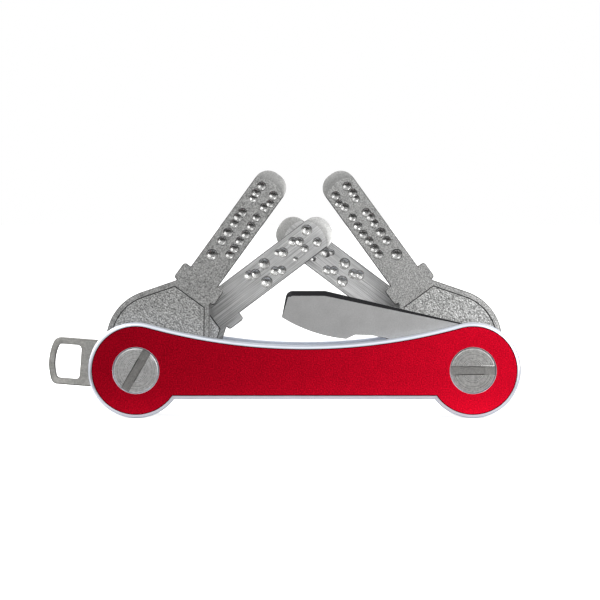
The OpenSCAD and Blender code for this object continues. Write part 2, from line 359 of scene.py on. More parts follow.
@dataclass(frozen=True)
class Finish:
    """A worked surface.

    Attributes:
        name: Name of the material.
        colour: Linear base colour.
        roughness: Middle roughness.
        metallic: 1 for bare metal.
        grain: How the surface was worked.
        grain_size: Width of one mark, in millimetres.
        grain_depth: Depth of the marks, in millimetres.
        tone: How much the marks darken and lighten the colour.
        mottle: How much broad patches darken and lighten it.
        mottle_size: Width of one patch, in millimetres.
        roughness_spread: How much the marks change the roughness.
        fade: How much darker the colour is painted at one end of the fade and lighter at the other: painted light
            and shade along the piece.
        fade_span: Distances from the centre at which the painted fade starts and ends, in metres.
        turn: Turn about Y that lines brushing up with the piece, in radians.
        centre: Axis of turned marks, or the point from which the fade runs, in metres.
        brush_stretch: How much shorter brushed marks look to the noise along the piece.
        noise_range: The noise's values that are stretched to 0 and 1.
    """

    name: str
    colour: tuple[float, float, float]
    roughness: float
    metallic: float = 1.0
    grain: Grain = Grain.BLASTED
    grain_size: float = 0.15
    grain_depth: float = 0.01
    tone: float = 0.15
    mottle: float = 0.05
    mottle_size: float = 3.0
    roughness_spread: float = 0.08
    fade: float = 0.0
    fade_span: tuple[float, float] = (-0.038, 0.038)
    turn: float = 0.0
    centre: tuple[float, float, float] = (0.0, 0.0, 0.0)
    brush_stretch: ClassVar[float] = 0.02
    noise_range: ClassVar[tuple[float, float]] = (0.3, 0.7)

    def material(self) -> bpy.types.Material:
        """Builds the node material, or gives it again.

        Returns:
            The material, with its marks in colour, roughness and bump.
        """
        if self.name in bpy.data.materials:
            return bpy.data.materials[self.name]
        made = bpy.data.materials.new(self.name)
        made.use_nodes = True
        tree = made.node_tree
        surface = tree.nodes["Principled BSDF"]
        surface.inputs["Metallic"].default_value = self.metallic
        marks = self._spread(tree, self._marks(tree))
        patches = self._spread(tree, self._noise(tree, self._place(tree), self.mottle_size, 3))
        dark, light = self._shades()
        mix = tree.nodes.new("ShaderNodeMix")
        mix.data_type = "RGBA"
        mix.inputs["A"].default_value = dark
        mix.inputs["B"].default_value = light
        spread = self.tone + self.mottle + self.fade
        share = self._math(tree, "MULTIPLY", marks, self.tone / spread)
        broad = self._math(tree, "MULTIPLY", patches, self.mottle / spread)
        share = self._math(tree, "ADD", share, broad)
        # The fade paints light and shade into the colour: darker at one end of the piece, lighter at the other.
        if self.fade:
            painted_light_share = self._math(tree, "MULTIPLY", self._along(tree), self.fade / spread)
            share = self._math(tree, "ADD", share, painted_light_share)
        tree.links.new(share, mix.inputs["Factor"])
        tree.links.new(mix.outputs["Result"], surface.inputs["Base Color"])
        rough = self._math(tree, "MULTIPLY_ADD", marks, self.roughness_spread)
        rough.node.inputs[2].default_value = self.roughness - self.roughness_spread / 2
        tree.links.new(rough, surface.inputs["Roughness"])
        bump = tree.nodes.new("ShaderNodeBump")
        bump.inputs["Strength"].default_value = 1.0
        bump.inputs["Distance"].default_value = self.grain_depth * MM
        tree.links.new(marks, bump.inputs["Height"])
        tree.links.new(bump.outputs["Normal"], surface.inputs["Normal"])
        return made

    def _shades(self) -> tuple[tuple[float, ...], tuple[float, ...]]:
        """Gives the darkest and the lightest colour of the surface.

        Returns:
            Both colours, with alpha.
        """
        spread = self.tone + self.mottle + self.fade
        dark = tuple(c * (1 - spread) for c in self.colour) + (1.0,)
        light = tuple(min(1.0, c * (1 + spread)) for c in self.colour) + (1.0,)
        return dark, light

    def _place(self, tree: bpy.types.NodeTree) -> bpy.types.NodeSocket:
        """Gives the piece's own coordinates, turned in line with it.

        Args:
            tree: The material's nodes.

        Returns:
            The coordinates.
        """
        where = tree.nodes.new("ShaderNodeTexCoord")
        turned = tree.nodes.new("ShaderNodeMapping")
        turned.inputs["Rotation"].default_value = (0.0, self.turn, 0.0)
        tree.links.new(where.outputs["Object"], turned.inputs["Vector"])
        return turned.outputs["Vector"]

    def _along(self, tree: bpy.types.NodeTree) -> bpy.types.NodeSocket:
        """Gives the place along the painted light and shade of the fade.

        Args:
            tree: The material's nodes.

        Returns:
            0 where the fade starts to 1 where it ends.
        """
        where = tree.nodes.new("ShaderNodeTexCoord")
        offset = tree.nodes.new("ShaderNodeVectorMath")
        offset.operation = "SUBTRACT"
        offset.inputs[1].default_value = self.centre
        turned = tree.nodes.new("ShaderNodeMapping")
        turned.inputs["Rotation"].default_value = (0.0, self.turn, 0.0)
        split = tree.nodes.new("ShaderNodeSeparateXYZ")
        along = tree.nodes.new("ShaderNodeMapRange")
        along.inputs["From Min"].default_value = self.fade_span[0]
        along.inputs["From Max"].default_value = self.fade_span[1]
        tree.links.new(where.outputs["Object"], offset.inputs[0])
        tree.links.new(offset.outputs["Vector"], turned.inputs["Vector"])
        tree.links.new(turned.outputs["Vector"], split.inputs["Vector"])
        tree.links.new(split.outputs["X"], along.inputs["Value"])
        return along.outputs["Result"]

    def _marks(self, tree: bpy.types.NodeTree) -> bpy.types.NodeSocket:
        """Gives the pattern of the working marks.

        Args:
            tree: The material's nodes.

        Returns:
            The raw noise of the marks.
        """
        place = self._place(tree)
        if self.grain is Grain.BLASTED:
            return self._noise(tree, place, self.grain_size, 2)
        if self.grain is Grain.BRUSHED:
            stretch = tree.nodes.new("ShaderNodeMapping")
            stretch.inputs["Scale"].default_value = (self.brush_stretch, 1.0, 1.0)
            tree.links.new(place, stretch.inputs["Vector"])
            return self._noise(tree, stretch.outputs["Vector"], self.grain_size, 3)
        offset = tree.nodes.new("ShaderNodeVectorMath")
        offset.operation = "SUBTRACT"
        offset.inputs[1].default_value = self.centre
        tree.links.new(place, offset.inputs[0])
        flat = tree.nodes.new("ShaderNodeVectorMath")
        flat.operation = "MULTIPLY"
        flat.inputs[1].default_value = (1.0, 0.0, 1.0)
        tree.links.new(offset.outputs["Vector"], flat.inputs[0])
        radius = tree.nodes.new("ShaderNodeVectorMath")
        radius.operation = "LENGTH"
        tree.links.new(flat.outputs["Vector"], radius.inputs[0])
        rings = tree.nodes.new("ShaderNodeTexNoise")
        rings.noise_dimensions = "1D"
        rings.inputs["Scale"].default_value = 1 / (self.grain_size * MM)
        rings.inputs["Detail"].default_value = 3
        tree.links.new(radius.outputs["Value"], rings.inputs["W"])
        return rings.outputs["Fac"]

    def _spread(
        self, tree: bpy.types.NodeTree, noise: bpy.types.NodeSocket
    ) -> bpy.types.NodeSocket:
        """Stretches a noise's middle values to the whole range from 0 to 1.

        Args:
            tree: The material's nodes.
            noise: The noise.

        Returns:
            The stretched noise.
        """
        wide = tree.nodes.new("ShaderNodeMapRange")
        wide.inputs["From Min"].default_value = self.noise_range[0]
        wide.inputs["From Max"].default_value = self.noise_range[1]
        tree.links.new(noise, wide.inputs["Value"])
        return wide.outputs["Result"]

    @staticmethod
    def _noise(
        tree: bpy.types.NodeTree, place: bpy.types.NodeSocket, size: float, detail: float
    ) -> bpy.types.NodeSocket:
        """Adds a noise.

        Args:
            tree: The material's nodes.
            place: The coordinates that it is laid in.
            size: Width of one mark, in millimetres.
            detail: How many finer layers it has.

        Returns:
            The noise.
        """
        noise = tree.nodes.new("ShaderNodeTexNoise")
        noise.inputs["Scale"].default_value = 1 / (size * MM)
        noise.inputs["Detail"].default_value = detail
        tree.links.new(place, noise.inputs["Vector"])
        return noise.outputs["Fac"]

    @staticmethod
    def _math(
        tree: bpy.types.NodeTree,
        operation: str,
        first: bpy.types.NodeSocket,
        second: bpy.types.NodeSocket | float,
    ) -> bpy.types.NodeSocket:
        """Adds a sum.

        Args:
            tree: The material's nodes.
            operation: Blender's name of the sum.
            first: Its first term.
            second: Its second term.

        Returns:
            The result.
        """
        node = tree.nodes.new("ShaderNodeMath")
        node.operation = operation
        tree.links.new(first, node.inputs[0])
        if isinstance(second, float):
            node.inputs[1].default_value = second
        else:
            tree.links.new(second, node.inputs[1])
        return node.outputs["Value"]


# The fade on the red plates is painted light: the red is painted darker to the left and lighter to the right, on
# top of the key lamp's own fall-off.
RED_ANODISING = Finish(
    "red_anodising",
    (0.6, 0.0034, 0.021),
    0.5,
    grain_size=0.3,
    grain_depth=0.02,
    tone=0.3,
    mottle=0.04,
    fade=0.25,
)
# A dark red band where the chamfer meets the red face: painted shade along that edge.
RED_EDGE_SHADE = Finish("red_painted_edge_shade", (0.10, 0.001, 0.008), 0.5, grain_size=0.3, tone=0.1)
BARE_CHAMFER = Finish(
    "bare_aluminium",
    (0.76, 0.8, 0.88),
    0.36,
    grain_size=0.12,
    grain_depth=0.002,
    tone=0.03,
    mottle=0.02,
    roughness_spread=0.05,
)
BLASTED_TOOL = Finish(
    "blasted_tool_steel", (0.53, 0.53, 0.53), 0.5, grain_size=0.3, grain_depth=0.006, tone=0.07
)
# Near black: painted shade on the tool's ground bevel and its front broken edges.
GROUND_BEVEL_SHADE = Finish("ground_bevel_painted_shade", (0.03, 0.03, 0.032), 0.35, grain_size=0.12, grain_depth=0.003)
TUMBLED_LOOP = Finish(
    "tumbled_loop_steel", (0.58, 0.574, 0.545), 0.38, grain_size=0.4, grain_depth=0.01, mottle=0.12
)
# The loop's rounded edges and window walls in a darker grey than the strap: painted shade.
LOOP_EDGE_SHADE = Finish("loop_painted_edge_shade", (0.24, 0.237, 0.225), 0.4, grain_size=0.3, mottle=0.1)
# Darker than the screws' steel: painted shade in the driver slot and its pocket.
SLOT_PAINTED_SHADE = Finish(
    "slot_painted_shade", (0.36, 0.355, 0.345), 0.42, grain_size=0.25, grain_depth=0.01, tone=0.2
)
WASHER_POLYMER = Finish("washer_polymer", (0.03, 0.03, 0.033), 0.55, 0.0, grain_size=0.2)
SPACER_ALUMINIUM = (0.62, 0.63, 0.65)


def turned_steel(name: str, colour: tuple[float, float, float], centre: Vector) -> Finish:
    """Gives metal with lathe marks about a post.

    Args:
        name: Name of the material.
        colour: Linear base colour.
        centre: Point on the post's axis, in metres.

    Returns:
        The finish.
    """
    return Finish(
        name,
        colour,
        0.3,
        grain=Grain.TURNED,
        grain_size=0.16,
        grain_depth=0.006,
        tone=0.2,
        mottle=0.22,
        mottle_size=0.5,
        centre=tuple(centre),
    )


def fit(piece: bpy.types.Object, body: str, node: str) -> None:
    """Shades a piece that stands for a CAD node, and ties it to its body.

    Args:
        piece: The new piece.
        body: The body that it moves with.
        node: The CAD node that it stands for.
    """
    shade(piece)
    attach(piece, body)
    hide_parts(node)


def dress(node: str, finish: Finish) -> None:
    """Gives a CAD node that keeps its own mesh a better material."""
    for slot in frame["nodes"][node].material_slots:
        slot.material = finish.material()


# ---------------------------------------------------------------- posts and their places


def joint_place(name: str) -> Vector:
    """Gives a joint's point in the frame."""
    return Vector(next(j["pos_m"] for j in frame["joints"] if j["name"] == name))


LEFT_POST = joint_place("left_front_key_pivot")
RIGHT_POST = joint_place("right_front_key_pivot")
POST_SPAN = (RIGHT_POST.x - LEFT_POST.x) / MM
MIDDLE = (LEFT_POST + RIGHT_POST) / 2


def front_of(node: str) -> float:
    """Gives the Y of a CAD node's front face, in metres."""
    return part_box(node)[0].y


def back_of(node: str) -> float:
    """Gives the Y of a CAD node's back face, in metres."""
    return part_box(node)[1].y


def thickness_of(node: str) -> float:
    """Gives a CAD node's thickness, in millimetres."""
    return (back_of(node) - front_of(node)) / MM


# ---------------------------------------------------------------- plates


@dataclass
class Plates:
    """The two waisted plates.

    Attributes:
        lobe: Radius of the round ends.
        waist_top: Height of the curved edge above the posts, at mid length.
        waist_bottom: Height of the straight edge below the posts.
        chamfer: Width of the bare chamfer.
        seat: Radius of the round seat of a head.
        seat_depth: Its depth.
        bore: Radius of the barrel's hole.
        seat_edge: Width of the broken edge round the seat.
        rim: Width of the painted dark red line, painted shade, where the chamfer cuts the red face.
        inner_edge: (inset, distance from the inner face) of the rings round the inner face.
        chamfer_steps: Number of flats in the chamfer's rounding.
        lobe_steps: Number of straight steps round an end.
        waist_steps: Number of straight steps along the curved edge.
    """

    lobe: float = 10.8
    waist_top: float = 5.64
    waist_bottom: float = 6.5
    chamfer: float = 0.8
    seat: float = 5.22
    seat_depth: float = 1.3
    bore: float = 2.6
    seat_edge: float = 0.07
    rim: float = 0.2
    inner_edge: tuple[Point, ...] = ((0, 0.15), (0.04, 0.05), (0.15, 0))
    chamfer_steps: int = 8
    lobe_steps: int = 150
    waist_steps: int = 48

    def outline(self, inwards: float) -> list[Point]:
        """Gives the plate's outline about its middle, moved inwards.

        Args:
            inwards: How far to move it.

        Returns:
            The closed outline.
        """
        half = POST_SPAN / 2
        radius = self.lobe - inwards
        sweep = (half**2 + self.waist_top**2 - self.lobe**2) / (2 * (self.lobe - self.waist_top))
        high = self.waist_top + sweep
        corner = math.degrees(math.asin((self.waist_bottom - inwards) / radius))
        tangent = math.degrees(math.atan2(high, -half))
        right = arc((half, 0), radius, corner - 180, tangent, self.lobe_steps)
        waist = arc((0, high), sweep + inwards, tangent - 180, -tangent, self.waist_steps)
        left = [(-x, y) for x, y in reversed(right)]
        return right + waist[1:-1] + left

    def build(self, name: str, node: str, thickness: float, flipped: bool) -> bpy.types.Object:
        """Builds one plate.

        Args:
            name: Name of the new piece.
            node: The CAD node that it stands for.
            thickness: The plate's thickness.
            flipped: True for the back plate, whose outer face looks back.

        Returns:
            The plate.
        """
        solid = Relief()

        def depth(d: float) -> float:
            """Gives the depth of what lies d behind the outer face."""
            return thickness - d if flipped else d

        rim = solid.ring(self.outline(self.chamfer + self.rim), depth(0))
        edge = [
            solid.ring(self.outline(inwards), depth(d))
            for inwards, d in (
                *rounded_edge(self.chamfer, self.chamfer_steps),
                *((inwards, thickness - short) for inwards, short in self.inner_edge),
            )
        ]
        solid.wall(edge, 1)
        # painted shade: the dark red band between the face and the chamfer
        solid.wall([rim, edge[0]], 2)
        outer, inner = [rim], [edge[-1]]
        for side in (-1, 1):
            centre = (side * POST_SPAN / 2, 0)
            well = [
                solid.ring(circle(radius, centre), depth(d))
                for radius, d in (
                    (self.seat + self.seat_edge, 0),
                    (self.seat, self.seat_edge),
                    (self.seat, self.seat_depth),
                    (self.bore, self.seat_depth),
                    (self.bore, thickness),
                )
            ]
            solid.wall(well, 1)
            outer.append(well[0])
            inner.append(well[-1])
        solid.cap(outer)
        solid.cap(inner, 1)
        place = Placement(MIDDLE, front_of(node))
        return solid.piece(name, place, (RED_ANODISING, BARE_CHAMFER, RED_EDGE_SHADE))

    def make(self) -> None:
        """Builds and dresses both plates."""
        for name, node, flipped in (
            ("front_plate_machined", "front_plate", False),
            ("back_plate_machined", "back_plate", True),
        ):
            plate = self.build(name, node, thickness_of(node), flipped)
            fit(plate, "casing", node)
            log.info("%s: %d faces", name, len(plate.data.polygons))


# ---------------------------------------------------------------- posts


@dataclass
class Post:
    """One post: a slotted screw from the front in a slotted barrel from the back.

    Attributes:
        side: Name of the side.
        centre: Point on its axis, in metres.
        screw_turn: Turn of the screw's driver slot, in degrees.
        grey: Grey of its metal.
        head: Radius of the head.
        head_height: Its height.
        head_chamfer: Width of the chamfer round its face and at the shank's end.
        head_break: Width of the broken edges on both sides of that chamfer.
        shank: Radius of the shank.
        slot_width: Width of the driver slot.
        slot_depth: Its depth.
        pocket: Half length of the deeper pocket in its middle.
        pocket_depth: Depth of the pocket.
        pocket_gap: How far the pocket stays clear of the slot's walls.
        cut_over: How far a cutter stands out of the face.
        broken_edge: Width of the broken edges where the slot is cut.
    """

    side: str
    centre: Vector
    screw_turn: float
    grey: float
    head: float = 5.12
    head_height: float = 1.2
    head_chamfer: float = 0.25
    head_break: float = 0.03
    shank: float = 1.7
    slot_width: float = 2.0
    slot_depth: float = 0.6
    pocket: float = 2.7
    pocket_depth: float = 0.8
    pocket_gap: float = 0.001
    cut_over: float = 0.4
    broken_edge: float = 0.09

    def screw(self, length: float) -> Relief:
        """Builds the head on its round shank.

        Args:
            length: Whole length.

        Returns:
            The solid, with the head's face at depth 0.
        """
        solid = Relief()
        soft, edge = self.head_chamfer, self.head_break
        rings = [
            solid.ring(circle(radius), depth)
            for radius, depth in (
                (self.head - soft - edge, 0),
                (self.head - soft + 0.02, 0.02),
                (self.head - edge, soft - edge),
                (self.head, soft + 0.05),
                (self.head, self.head_height),
                (self.shank, self.head_height),
                (self.shank, length - soft),
                (self.shank - soft, length),
            )
        ]
        solid.wall(rings)
        solid.cap([rings[0]])
        solid.cap([rings[-1]])
        return solid

    def slot_cutters(self, place: Placement) -> list[bpy.types.Object]:
        """Builds the cutters of the driver slot and of the deeper pocket in its middle.

        Args:
            place: Where the screw lies.

        Returns:
            The two cutters.
        """
        place = Placement(place.post, place.depth, self.screw_turn)
        reach, half = self.head + 1, self.slot_width / 2
        corners = [(-reach, -half), (reach, -half), (reach, half), (-reach, half)]
        start = math.degrees(math.asin(half / self.pocket))
        bound = arc((0, 0), self.pocket, -start, start, 12)
        bound += arc((0, 0), self.pocket, 180 - start, 180 + start, 12)
        cutters = []
        for name, outline, depth in (
            ("slot_cutter", corners, self.slot_depth),
            ("pocket_cutter", inset(bound, self.pocket_gap), self.pocket_depth),
        ):
            solid = Relief()
            rings = [solid.ring(outline, -self.cut_over), solid.ring(outline, depth)]
            solid.wall(rings)
            solid.cap([rings[0]])
            solid.cap([rings[1]])
            cutters.append(solid.piece(name, place, (SLOT_PAINTED_SHADE,)))
        return cutters

    def make(self) -> None:
        """Builds the screw, and dresses it, the barrel and what lies between the plates."""
        grey = self.grey
        colour = (grey, grey * 0.99, grey * 0.97)
        finish = turned_steel(f"turned_steel_{self.side}", colour, self.centre)
        node = f"{self.side}_screw"
        place = Placement(self.centre, front_of(node))
        piece = self.screw(thickness_of(node)).piece(f"{node}_turned", place, (finish,))
        carve(piece, self.slot_cutters(place))
        soften(piece, self.broken_edge)
        fit(piece, "casing", node)
        dress(f"{self.side}_barrel", finish)
        for node in frame["record"]["behaviour"]["bodies"]["casing"]:
            if node.startswith(f"{self.side}_washer"):
                dress(node, WASHER_POLYMER)
            elif node.startswith(f"{self.side}_spacer"):
                dress(node, turned_steel(f"{node}_marks", SPACER_ALUMINIUM, self.centre))
        log.info("%s post: screw %d faces", self.side, len(piece.data.polygons))


# ---------------------------------------------------------------- keys


Pit = tuple[float, float, float]

FRONT_PITS: tuple[Pit, ...] = (
    (4.4, 1.5, 1.1),
    (6.4, 1.6, 1.1),
    (7.8, 1.4, 1.0),
    (11.8, 1.5, 1.1),
    (13.2, 1.7, 1.1),
    (14.9, 1.5, 1.1),
    (17.4, 1.5, 1.2),
    (19.7, 1.5, 1.1),
    (23.6, 1.5, 1.35),
    (4.6, -1.9, 1.1),
    (6.5, -2.4, 1.0),
    (8.0, -1.8, 1.1),
    (10.9, -1.7, 1.0),
    (13.2, -1.9, 1.1),
    (15.4, -2.0, 1.1),
    (17.4, -1.8, 1.1),
    (19.5, -1.8, 1.1),
    (21.2, -1.8, 1.1),
)
REAR_PITS: tuple[Pit, ...] = (
    (4.9, 2.0, 1.3),
    (4.6, -1.65, 1.1),
    (9.0, 1.8, 1.1),
    (7.8, 0.9, 1.1),
    (7.8, -1.1, 1.0),
    (12.3, 1.15, 1.2),
    (13.3, 1.9, 0.8),
    (10.9, -1.75, 0.6),
    (17.3, 1.7, 1.35),
    (16.3, -1.1, 1.1),
    (15.0, -1.9, 1.1),
    (19.3, -1.95, 1.35),
    (21.6, 1.6, 1.2),
    (20.3, 1.05, 1.2),
)


@dataclass
class Key:
    """A cut-down pit key.

    Attributes:
        node: Its CAD node.
        body: The body that it is.
        slot: The record's material slot; not used.
        place: Where it lies.
        grey: Grey of its metal.
        grain: How its faces were worked.
        pits: Distance from the tip, offset from the middle and radius of each pit.
        reach: Distance of the tip from the post.
        blade: Half width of the blade.
        bow: Radius of the bow.
        bow_offset: Distance of the bow's centre from the post.
        neck: Where the bow's flanks end.
        neck_half: Half width there.
        stop_start: Where the stops beside the blade start.
        stop_end: Where they end.
        stop_reach: How far they stand out of the blade.
        stop_round: Radius of their corners.
        tip_round: Radius of the tip's corners.
        rim: Width of the rim round the bow's sunk field.
        recess_depth: Depth of the field.
        recess_end: Where the field ends towards the blade.
        field_break: Inset and depth of the broken edge round the field.
        field_slope: How far in the field's floor starts.
        boss: Radius of the boss round the bore.
        bore: Radius of the bore.
        edge: Radius of the rounded edges.
        edge_steps: Number of flats in them.
        tip_bevel: Length of the tip's bevel.
        tip_bevel_depth: Its depth at the tip.
        tip_arc: Radius of the line where the bevel starts.
        tip_sweep: Half the angle that the bevel's cutter covers, in degrees.
        tip_steps: Number of steps in it.
        pit_depth_share: Depth of a pit as a share of its radius.
        pit_room: Least distance of two pits cut at once, as a share of their radii.
    """

    node: str
    body: str
    slot: str
    place: Placement
    grey: float
    grain: Grain
    pits: Sequence[Pit]
    reach: float = 54.6
    blade: float = 3.85
    bow: float = 11.7
    bow_offset: float = 7.9
    neck: float = 21.5
    neck_half: float = 4.75
    stop_start: float = 21.8
    stop_end: float = 26.0
    stop_reach: float = 1.75
    stop_round: float = 0.7
    tip_round: float = 3.4
    rim: float = 1.1
    recess_depth: float = 0.25
    recess_end: float = 20.4
    field_break: Point = (0.08, 0.06)
    field_slope: float = 0.24
    boss: float = 4.9
    bore: float = 2.56
    edge: float = 0.18
    edge_steps: int = 4
    tip_bevel: float = 2.2
    tip_bevel_depth: float = 0.8
    tip_arc: float = 6.0
    tip_sweep: float = 42.0
    tip_steps: int = 40
    pit_depth_share: float = 0.5
    pit_room: float = 1.3

    def metal(
        self,
        part: str,
        share: float,
        roughness: float,
        grain: Grain = Grain.BLASTED,
        **marks: float | tuple[float, float],
    ) -> Finish:
        """Gives the finish of one part of the key.

        Args:
            part: Name of the part.
            share: Its brightness next to the key's own grey.
            roughness: Its roughness.
            grain: How it was worked.
            **marks: Other values of the finish.

        Returns:
            The finish.
        """
        grey = self.grey * share
        return Finish(
            f"{self.node}_{part}",
            (grey, grey, grey * 0.985),
            roughness,
            grain=grain,
            turn=self.place.grain_turn(),
            centre=tuple(self.place.post),
            **marks,
        )

    def face_finish(self) -> Finish:
        """Gives the finish of the faces; on a brushed key they are painted darker near the bow, a painted shadow
        of the front key.

        Returns:
            The finish.
        """
        if self.grain is Grain.BRUSHED:
            return self.metal(
                "face",
                0.85,
                0.38,
                self.grain,
                grain_size=0.2,
                grain_depth=0.02,
                tone=0.4,
                # painted shadow of the front key: the faces are painted darker towards the bow
                fade=0.3,
                fade_span=(0.021, 0.029),
            )
        return self.metal("face", 1, 0.44, grain_size=0.27, grain_depth=0.02, tone=0.5)

    def field_finish(self) -> Finish:
        """Gives the pebbled finish of the bow's sunk field."""
        return self.metal("field", 1.12, 0.42, grain_size=0.32, grain_depth=0.04, tone=0.6)

    def pit_finish(self) -> Finish:
        """Gives the drilled finish of the pits, at 0.85 of the key's grey: on the front keys painted shade in the
        hollows.
        """
        return self.metal("pits", 0.85, 0.2, grain_size=0.3, grain_depth=0.03, tone=0.3)

    def tip_finish(self) -> Finish:
        """Gives the milled finish of the tip."""
        share = 0.75 if self.grain is Grain.BRUSHED else 0.8
        return self.metal("tip", share, 0.4, grain_size=0.3, grain_depth=0.01, tone=0.2)

    def edge_shade_finish(self) -> Finish:
        """Gives the rounded edges and the walls round the sunk field a far darker grey: painted shade."""
        return self.metal("edges", 0.25, 0.4, self.grain)

    def flank_angle(self) -> float:
        """Gives the direction from the bow's centre to where its flank starts.

        Returns:
            The angle above the key's length, in degrees.
        """
        run = self.neck - self.bow_offset
        reach = math.hypot(run, self.neck_half)
        turn = math.atan2(self.neck_half, run) + math.acos(self.bow / reach)
        return math.degrees(turn)

    def outline(self) -> list[Point]:
        """Gives the key's outline.

        Returns:
            The closed outline, with the post at its origin.
        """
        across = self.blade + self.stop_reach - self.stop_round
        half = arc((self.bow_offset, 0), self.bow, 180, self.flank_angle(), 60)
        half += [(self.neck, self.neck_half), (self.stop_start, self.neck_half)]
        half += arc((self.stop_start + self.stop_round, across), self.stop_round, 180, 90, 8)
        half += arc((self.stop_end - self.stop_round, across), self.stop_round, 90, 0, 8)
        half += [(self.stop_end, self.blade)]
        tip = (self.reach - self.tip_round, self.blade - self.tip_round)
        half += arc(tip, self.tip_round, 90, 0, 16)
        return closed_from_half(half)

    def recess(self) -> list[Point]:
        """Gives the outline of the bow's sunk field.

        Returns:
            The closed outline.
        """
        flank = self.flank_angle()
        half = arc((self.bow_offset, 0), self.bow - self.rim, 180, flank, 60)
        last = half[-1]
        drop = (self.recess_end - last[0]) / math.tan(math.radians(flank))
        return closed_from_half(half + [(self.recess_end, last[1] - drop)])

    def blank(self, thickness: float) -> Relief:
        """Builds the key before its pits and its tip are cut.

        Args:
            thickness: The key's thickness.

        Returns:
            The solid, with face, field and edges in material slots 0, 1 and 2.
        """
        solid = Relief()
        outline, recess = self.outline(), self.recess()
        turn = rounded_edge(self.edge, self.edge_steps)
        front = [solid.ring(inset(outline, i), d) for i, d in turn]
        back = [solid.ring(inset(outline, i), thickness - d) for i, d in reversed(turn)]
        solid.wall(front, 2)
        solid.wall([front[-1], back[0]])
        solid.wall(back, 2)
        bores = []
        for outer, depth in ((front[0], lambda d: d), (back[-1], lambda d: thickness - d)):
            field_rings = [
                solid.ring(inset(recess, inwards), depth(d))
                for inwards, d in ((0, 0), self.field_break, (self.field_slope, self.recess_depth))
            ]
            boss = [
                solid.ring(circle(self.boss), depth(self.recess_depth)),
                solid.ring(circle(self.boss - 0.05), depth(0)),
            ]
            bore = [
                solid.ring(circle(self.bore + BREAK), depth(0)),
                solid.ring(circle(self.bore), depth(BREAK)),
            ]
            solid.wall(field_rings, 2)
            solid.wall(boss, 2)
            solid.wall(bore)
            solid.cap([outer, field_rings[0]])
            solid.cap([field_rings[-1], boss[0]], 1)
            solid.cap([boss[1], bore[0]])
            bores.append(bore[1])
        solid.wall(bores)
        return solid

    def pit_groups(self) -> list[list[Pit]]:
        """Sorts the pits into groups in which none touches another.

        Returns:
            The groups, each of which is cut at once.
        """
        groups: list[list[Pit]] = []
        for pit in self.pits:
            for group in groups:
                if all(
                    math.dist(pit[:2], near[:2]) > self.pit_room * (pit[2] + near[2])
                    for near in group
                ):
                    group.append(pit)
                    break
            else:
                groups.append([pit])
        return groups

    def pit_cutters(self, thickness: float) -> list[bpy.types.Object]:
        """Builds balls that cut the pits in both faces.

        Args:
            thickness: The key's thickness.

        Returns:
            A cutter for each group of pits and each face.
        """
        cutters = []
        for group in self.pit_groups():
            for flipped in (False, True):
                solid = Relief()
                for from_tip, across, radius in group:
                    depth = radius * self.pit_depth_share
                    ball = (radius**2 + depth**2) / (2 * depth)
                    y = depth - ball
                    along = self.reach - from_tip
                    spot = (along, thickness - y, -across) if flipped else (along, y, across)
                    solid.ball(spot, ball)
                cutters.append(solid.piece("pit_cutter", self.place, (self.pit_finish(),)))
        return cutters

    def tip_cutters(self, thickness: float) -> list[bpy.types.Object]:
        """Builds the two cutters that grind the tip to a blunt ridge.

        Args:
            thickness: The key's thickness.

        Returns:
            The cutters of the front and the back bevel.
        """
        slope = self.tip_bevel / self.tip_bevel_depth
        centre = self.reach - self.tip_bevel - self.tip_arc
        over, clear = 0.3, self.tip_arc + 8
        cutters = []
        for flipped in (False, True):
            solid = Relief()
            sections = []
            corners = (
                (self.tip_arc - over * slope, -over),
                (self.tip_arc + (self.tip_bevel_depth + over) * slope, self.tip_bevel_depth + over),
                (clear, self.tip_bevel_depth + over),
                (clear, -over),
            )
            for k in range(self.tip_steps + 1):
                a = math.radians(-self.tip_sweep + 2 * self.tip_sweep * k / self.tip_steps)
                section = [
                    solid.mesh.verts.new(
                        (centre + r * math.cos(a), thickness - y if flipped else y, r * math.sin(a))
                    )
                    for r, y in corners
                ]
                sections.append(section)
            solid.wall(sections)
            solid.mesh.faces.new(sections[0])
            solid.mesh.faces.new(sections[-1])
            cutters.append(solid.piece("tip_cutter", self.place, (self.tip_finish(),)))
        return cutters

    def make(self) -> None:
        """Builds and dresses the key."""
        thickness = thickness_of(self.node)
        finishes = (self.face_finish(), self.field_finish(), self.edge_shade_finish())
        piece = self.blank(thickness).piece(f"{self.node}_cut", self.place, finishes)
        carve(piece, self.tip_cutters(thickness) + self.pit_cutters(thickness))
        fit(piece, self.body, self.node)
        faces = len(piece.data.polygons)
        log.info("%s: %d faces, %d pits a side", self.node, faces, len(self.pits))


# ---------------------------------------------------------------- cutter tool


